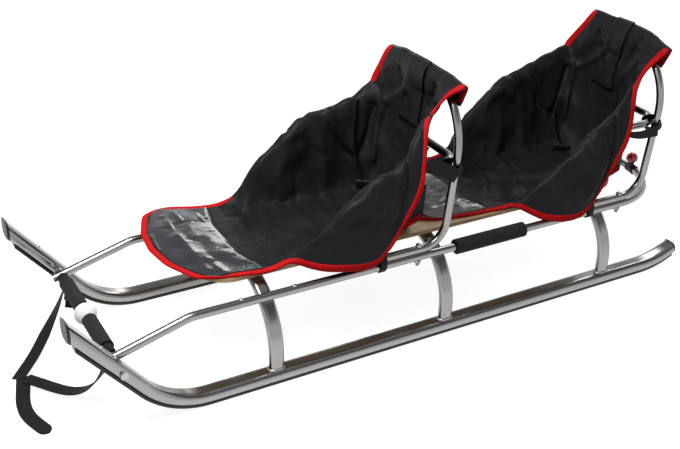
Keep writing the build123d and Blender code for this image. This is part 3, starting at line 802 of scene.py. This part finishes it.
# Ties from the wings' rear edges to the frame's uprights, in millimetres from the seat's foot
TIE_ROUTES = {
    "front": ((58, 149, 353), (22, 156, 338), (-4, 163, 323)),
    "rear": ((66, 156, 324), (40, 159, 319), (-2, 163, 324)),
}
TIE_WIDTHS = {"front": (0.03, 0.028), "rear": (0.013, 0.026)}


def build_ties(seat, side, side_name):
    """Band round the upright and hoop with its tail to the wing, and a band round the rail."""
    upright = seat_place(seat, 0, side * rail_y / MM, hoop_z / MM)
    upright[0] -= (hoop_z - leg_z) * np.tan(BACK_LEAN)
    outward = (HOOP_BEND_RADIUS + HOOP_ARM_INSET) / (HOOP_BEND_RADIUS + 2 * tube_radius)
    contact = np.array((-np.sqrt(1 - outward**2), side * outward, 0))
    tangent = np.array((outward, side * np.sqrt(1 - outward**2), 0))
    axis = unit(tangent + (0, 0, 1))
    middle = upright - contact * tube_radius
    lash = loop_band("lash", middle, contact * (2 * tube_radius + TIE_GAP),
                     np.cross(axis, contact) * TIE_HALF_DEPTH, TIE_WIDTH, TIE_THICK)
    route = [seat_place(seat, x, side * y, z) for x, y, z in TIE_ROUTES[seat]]
    start_width, end_width = TIE_WIDTHS[seat]
    tail = ribbon("tail", route, np.array((0, 0, 1.0)), start_width, TIE_THICK, end_width)
    finish_piece(join_pieces(f"arm_tie_{seat}_{side_name}", [lash, tail]), webbing, "webbing")
    low = seat_place(seat, RAIL_TIE_PLACE, side * rail_y / MM, (rail_z + leg_z) / 2 / MM)
    strip = loop_band(f"rail_tie_{seat}_{side_name}", low, np.array((0, 0, 2 * tube_radius + RAIL_TIE_GAP)),
                      np.array((0, tube_radius + RAIL_TIE_GAP, 0)), RAIL_TIE_WIDTH, TIE_THICK)
    finish_piece(strip, webbing, "webbing")


# Harness straps down the inner corners, in millimetres from the seat's foot, y outwards
HARNESS_ROUTES = {
    "front": (
        (44, 122, 376), (54, 107, 338), (57, 103, 306), (58, 98, 275), (54, 92, 252), (50, 86, 230),
        (42, 74, 211),
    ),
    "rear": ((36, 94, 309), (42, 94, 285), (45, 92, 262), (43, 85, 236), (42, 73, 214), (40, 58, 202)),
}
HARNESS_WIDTH = 0.017
HARNESS_THICK = 0.0022
TONGUE_SIZE = (0.036, 0.013, 0.006)
TONGUE_FROM_STRAP = (0.004, 0, 0.002)


def build_harness(seat, side, side_name):
    """Strap down one inner corner, with its buckle tongue."""
    course = [seat_place(seat, x, side * y, z) for x, y, z in HARNESS_ROUTES[seat]]
    across = np.array((0.8, -0.5 * side, 0.1))
    strap = ribbon(f"harness_{seat}_{side_name}", course, across, HARNESS_WIDTH, HARNESS_THICK)
    finish_piece(strap, webbing, "webbing")
    length, width, thick = TONGUE_SIZE
    reach = unit(np.array((-0.8, -0.6 * side, 0)))
    end = course[-1] + TONGUE_FROM_STRAP
    ends = [end - reach * length / 2, end + reach * length / 2]
    tilt = np.array((0.5, 0.2 * side, 0.8))
    tongue = ribbon(f"harness_tongue_{seat}_{side_name}", ends, tilt, width, thick)
    finish_piece(tongue, black_plastic, "black_plastic")


for seat in seat_feet:
    for side, side_name in SIDES:
        build_gusset(seat, side, side_name)
        build_ties(seat, side, side_name)
        build_harness(seat, side, side_name)


# Bolts, rivets and weld beads. The seat bolts' place is in millimetres from the seat's foot
SEAT_BOLT_PLACE = 56
BOLT_HEAD = ((0.0062, 0), (0.0062, 0.0026), (0.005, 0.0042), (0.002, 0.005))
BOLT_NUT = ((0.0062, 0), (0.0062, 0.005), (0.0036, 0.0052), (0.0036, 0.0105), (0.003, 0.0112))
RIVET_HEAD = ((0.0042, 0), (0.0039, 0.0012), (0.0022, 0.0023))
RAIL_RIVETS = (0.3586, 0.2546)
TIP_RIVET_RISE = 0.036
RISE = radians(50.5)
BOLT_SINK = 0.0006
RIVET_SINK = 0.0003
TIP_RIVET_LIFT = 0.0107
WELD_RADIUS = 0.0024
WELD_LIFT = 0.0004
WELD_STEPS = 40
ARCH_HALF_THICK = 0.008

bolts = []
for seat in seat_feet:
    for side, _ in SIDES:
        x, y, _ = seat_place(seat, SEAT_BOLT_PLACE, side * rail_y / MM, 0)
        bolts.append(lathe("bolt", (x, y, leg_z + tube_radius - BOLT_SINK), (0, 0, 1), BOLT_HEAD))
        bolts.append(lathe("bolt", (x, y, rail_z - tube_radius + BOLT_SINK), (0, 0, -1), BOLT_NUT))
crossbar_middle = (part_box("crossbar")[0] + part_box("crossbar")[1]) / 2
for side, _ in SIDES:
    for x in RAIL_RIVETS:
        rivet_place = (x, side * rail_y, rail_z + tube_radius - RIVET_SINK)
        bolts.append(lathe("bolt", rivet_place, (0, 0, 1), RIVET_HEAD))
    rise = Vector((-sin(RISE), 0, cos(RISE)))
    ahead = Vector((TIP_RIVET_RISE, 0, TIP_RIVET_RISE * np.tan(RISE)))
    tip = crossbar_middle + ahead + rise * TIP_RIVET_LIFT
    bolts.append(lathe("bolt", (tip.x, side * runner_y, tip.z), rise, RIVET_HEAD))
finish_piece(join_pieces("bolts", bolts), zinc_steel, "zinc_steel")

beads = []
for arch in ("front", "middle", "rear"):
    low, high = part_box(f"arch_{arch}")
    half_width = (high.x - low.x) / 2
    flat = half_width - ARCH_HALF_THICK
    angles = np.linspace(0, 2 * pi, WELD_STEPS, endpoint=False)
    for side, _ in SIDES:
        centre = np.array(((low.x + high.x) / 2, side * runner_y, low.z + WELD_LIFT))
        path = centre + np.column_stack([np.sign(np.cos(angles)) * flat + ARCH_HALF_THICK * np.cos(angles),
                                         ARCH_HALF_THICK * np.sin(angles), np.zeros(WELD_STEPS)])
        along = unit(np.roll(path, -1, axis=0) - np.roll(path, 1, axis=0))
        up = np.tile((0.0, 0.0, 1.0), (WELD_STEPS, 1))
        beads.append(sweep("bead", path, np.cross(along, up), up,
                           bar_profile(2 * WELD_RADIUS, 2 * WELD_RADIUS, squareness=1), closed=True))
finish_piece(join_pieces("weld_beads", beads), weld_metal, "aluminium")

# Tow strap. Route points in millimetres, as the part's source has them
STRAP_WIDTH = 0.025
STRAP_THICK = 0.0022
STRAP_STEP = 0.003
TOW_LEFT_ROUTE = [
    (592, 124, 107), (599, 116, 80), (607, 106, 55), (618, 93, 32), (632, 77, 16.5), (650, 56, 7.5),
    (670, 30, 6), (690, 2.5, 6), (703, -15, 5.2),
]
TOW_RIGHT_ROUTE = [
    (592, -124, 107), (607, -112, 84), (630, -96, 57.5), (654, -78.5, 33.5), (676, -61.5, 15),
    (698, -43, 5.5), (716, -22, 3.2),
]
TOW_HANDLE_ROUTE = [
    (706, -24, 1), (716, 12, 1), (725, 44, 1), (728, 76, 1), (722, 106, 1), (708, 142, 1),
]


def spline_points(route):
    """Points along a smooth curve that the route's points control."""
    curve = bpy.data.curves.new("route", "CURVE")
    curve.dimensions = "3D"
    curve.resolution_u = 10
    spline = curve.splines.new("NURBS")
    spline.points.add(len(route) - 1)
    for point, place in zip(spline.points, route):
        point.co = (*(MM * value for value in place), 1)
    spline.order_u = 3
    spline.use_endpoint_u = True
    carrier = bpy.data.objects.new("route", curve)
    bpy.context.scene.collection.objects.link(carrier)
    mesh = bpy.data.meshes.new_from_object(carrier.evaluated_get(bpy.context.evaluated_depsgraph_get()))
    points = np.array([vertex.co for vertex in mesh.vertices])
    bpy.data.objects.remove(carrier)
    bpy.data.meshes.remove(mesh)
    return points


def build_strap(name, route, thick, lift=0.0, twist=(0, 0), round_end=False):
    """Strap along a route, twisted from one angle to another over its first half."""
    path = resample(spline_points(route), STRAP_STEP)
    path[:, 2] += lift
    along = unit(np.gradient(path, axis=0))
    across = unit(np.cross(along, (0, 0, 1.0)))
    up = np.cross(across, along)
    share = np.linspace(0, 1, len(path))[:, None]
    angle = np.radians(np.interp(share, (0, 0.5), twist))
    across, up = across * np.cos(angle) + up * np.sin(angle), up * np.cos(angle) - across * np.sin(angle)
    left = np.linalg.norm(path - path[-1], axis=1)[:, None] / (STRAP_WIDTH / 2)
    taper = np.sqrt(np.clip(1 - (1 - np.minimum(left, 1)) ** 2, 0.04, 1)) if round_end else 1.0
    strap = sweep(name, path, across * taper, up, bar_profile(STRAP_WIDTH, thick, squareness=0.3))
    finish_piece(strap, webbing, "webbing", name.replace("webbing", "tow_strap"))
    return strap


build_strap("webbing_left", TOW_LEFT_ROUTE, STRAP_THICK)
build_strap("webbing_right", TOW_RIGHT_ROUTE, STRAP_THICK, twist=(-60, -10))
build_strap("webbing_handle", TOW_HANDLE_ROUTE, 2 * STRAP_THICK, lift=0.0012, round_end=True)


# Tail and buckle of the tow strap beside the right end of the crossbar, in millimetres
TAIL_ROUTE = ((587, -112, 100), (590, -108, 84), (594, -105, 70))
TAIL_ACROSS = np.array((1.0, -0.4, 0))
TAIL_WIDTH = 0.014
BUCKLE_WIDTH = 0.02
BUCKLE_THICK = 0.006
tail_places = [np.array(place) * MM for place in TAIL_ROUTE]
tail = ribbon("tow_tail", tail_places, TAIL_ACROSS, TAIL_WIDTH, STRAP_THICK)
buckle = ribbon("tow_buckle", tail_places[:2], TAIL_ACROSS, BUCKLE_WIDTH, BUCKLE_THICK)
finish_piece(tail, webbing, "webbing")
finish_piece(buckle, black_plastic, "black_plastic")


# Camera
CAMERA_PLACE = (1.0049, 1.5412, 1.1630)
CAMERA_RIGHT = (-0.8680252, 0.4947987, 0.0413097)
CAMERA_DOWN = (0.2069934, 0.4362387, -0.8756994)
CAMERA_AHEAD = (-0.4513158, -0.7515784, -0.4810863)
CAMERA_LENS = 55.675

camera_data = bpy.data.cameras.new("camera")
camera_data.sensor_width = 36
camera_data.sensor_fit = "HORIZONTAL"
camera_data.lens = CAMERA_LENS
camera_data.clip_end = 100
camera = bpy.data.objects.new("camera", camera_data)
axes = Matrix((CAMERA_RIGHT, CAMERA_DOWN, CAMERA_AHEAD)).transposed()
turn = axes @ Matrix(((1, 0, 0), (0, -1, 0), (0, 0, -1)))
camera.matrix_world = Matrix.Translation(CAMERA_PLACE) @ turn.to_4x4()
bpy.context.scene.collection.objects.link(camera)
bpy.context.scene.camera = camera


# Floor, world and lamps
def seen_share(tree):
    """Socket that is 1 for what the camera sees, straight or by way of metal and clear sheets."""
    ray = tree.nodes.new("ShaderNodeLightPath")
    share = ray.outputs["Is Camera Ray"]
    for kind in ("Is Glossy Ray", "Is Transmission Ray"):
        larger = tree.nodes.new("ShaderNodeMath")
        larger.operation = "MAXIMUM"
        tree.links.new(share, larger.inputs[0])
        tree.links.new(ray.outputs[kind], larger.inputs[1])
        share = larger.outputs[0]
    return share


def grey_bands(tree, bands):
    """Colour socket with a grey level for each height, from the horizon at 0 to the zenith at 1."""
    place = tree.nodes.new("ShaderNodeTexCoord")
    split = tree.nodes.new("ShaderNodeSeparateXYZ")
    ramp = tree.nodes.new("ShaderNodeValToRGB")
    for position, level in bands:
        band = ramp.color_ramp.elements.new(position)
        band.color = (level, level, level, 1)
    ramp.color_ramp.elements.remove(ramp.color_ramp.elements[0])
    ramp.color_ramp.elements[-1].color = (bands[-1][1],) * 3 + (1,)
    tree.links.new(place.outputs["Generated"], split.inputs[0])
    tree.links.new(split.outputs["Z"], ramp.inputs["Fac"])
    return ramp.outputs["Color"]


FLOOR_REACH = 40.0
FLOOR_DROP = 0.0005
FLOOR_GREY = 0.42
FLOOR_GLOW = 0.88


def floor_look():
    """Pale floor that shows white and keeps the shadow."""
    material = bpy.data.materials.new("floor")
    material.use_nodes = True
    tree = material.node_tree
    tree.nodes.clear()
    diffuse = tree.nodes.new("ShaderNodeBsdfDiffuse")
    diffuse.inputs["Color"].default_value = (FLOOR_GREY, FLOOR_GREY, FLOOR_GREY, 1)
    gain = tree.nodes.new("ShaderNodeMath")
    gain.operation = "MULTIPLY"
    gain.inputs[1].default_value = FLOOR_GLOW
    tree.links.new(seen_share(tree), gain.inputs[0])
    glow = tree.nodes.new("ShaderNodeEmission")
    tree.links.new(gain.outputs[0], glow.inputs["Strength"])
    add = tree.nodes.new("ShaderNodeAddShader")
    tree.links.new(diffuse.outputs[0], add.inputs[0])
    tree.links.new(glow.outputs[0], add.inputs[1])
    output = tree.nodes.new("ShaderNodeOutputMaterial")
    tree.links.new(add.outputs[0], output.inputs["Surface"])
    return material


corner_signs = ((-1, -1), (1, -1), (1, 1), (-1, 1))
floor_corners = [(x * FLOOR_REACH, y * FLOOR_REACH, -FLOOR_DROP) for x, y in corner_signs]
floor = mesh_piece("floor", floor_corners, [(0, 1, 2, 3)])
floor.data.materials.append(floor_look())

# Grey levels of the light from the sky, and of the backdrop and ceiling that show. Columns: height, level
SKY_BANDS = [(0.0, 0.1), (0.25, 0.16), (0.5, 0.42), (0.75, 0.9), (0.95, 1.0)]
BACKDROP_BANDS = [(0.0, 1.0), (0.36, 1.0), (0.46, 0.3), (0.7, 0.12), (0.95, 0.4)]
SKY_STRENGTH = 0.4


def light_world():
    """Soft light from above, with a white backdrop under a dark ceiling where the world shows."""
    world = bpy.data.worlds.new("world")
    bpy.context.scene.world = world
    world.use_nodes = True
    tree = world.node_tree
    tree.nodes.clear()
    sky = tree.nodes.new("ShaderNodeBackground")
    sky.inputs["Strength"].default_value = SKY_STRENGTH
    tree.links.new(grey_bands(tree, SKY_BANDS), sky.inputs["Color"])
    backdrop = tree.nodes.new("ShaderNodeBackground")
    tree.links.new(grey_bands(tree, BACKDROP_BANDS), backdrop.inputs["Color"])
    choice = tree.nodes.new("ShaderNodeMixShader")
    tree.links.new(seen_share(tree), choice.inputs["Fac"])
    tree.links.new(sky.outputs[0], choice.inputs[1])
    tree.links.new(backdrop.outputs[0], choice.inputs[2])
    output = tree.nodes.new("ShaderNodeOutputWorld")
    tree.links.new(choice.outputs[0], output.inputs["Surface"])


light_world()

# Columns: name, place, aim, size, watts
LAMPS = [
    ("key", (0.7, 0.2, 1.6), (0.15, 0, 0.2), 0.7, 31),
    ("fill", (0.6, 2.4, 1.8), (0, 0, 0.2), 1.5, 3),
    ("rim", (-2.0, -1.2, 2.2), (0, 0, 0.2), 1.2, 22),
    ("glint", (-1.1, -2.39, 1.27), (0.38, 0, 0.19), 0.7, 6),
]
for name, spot, aim, size, watts in LAMPS:
    lamp = bpy.data.lights.new(name, "AREA")
    lamp.size = size
    lamp.energy = watts
    holder = bpy.data.objects.new(name, lamp)
    holder.location = spot
    holder.rotation_euler = (Vector(aim) - Vector(spot)).to_track_quat("-Z", "Y").to_euler()
    bpy.context.scene.collection.objects.link(holder)

bpy.context.scene.view_settings.view_transform = "Standard"
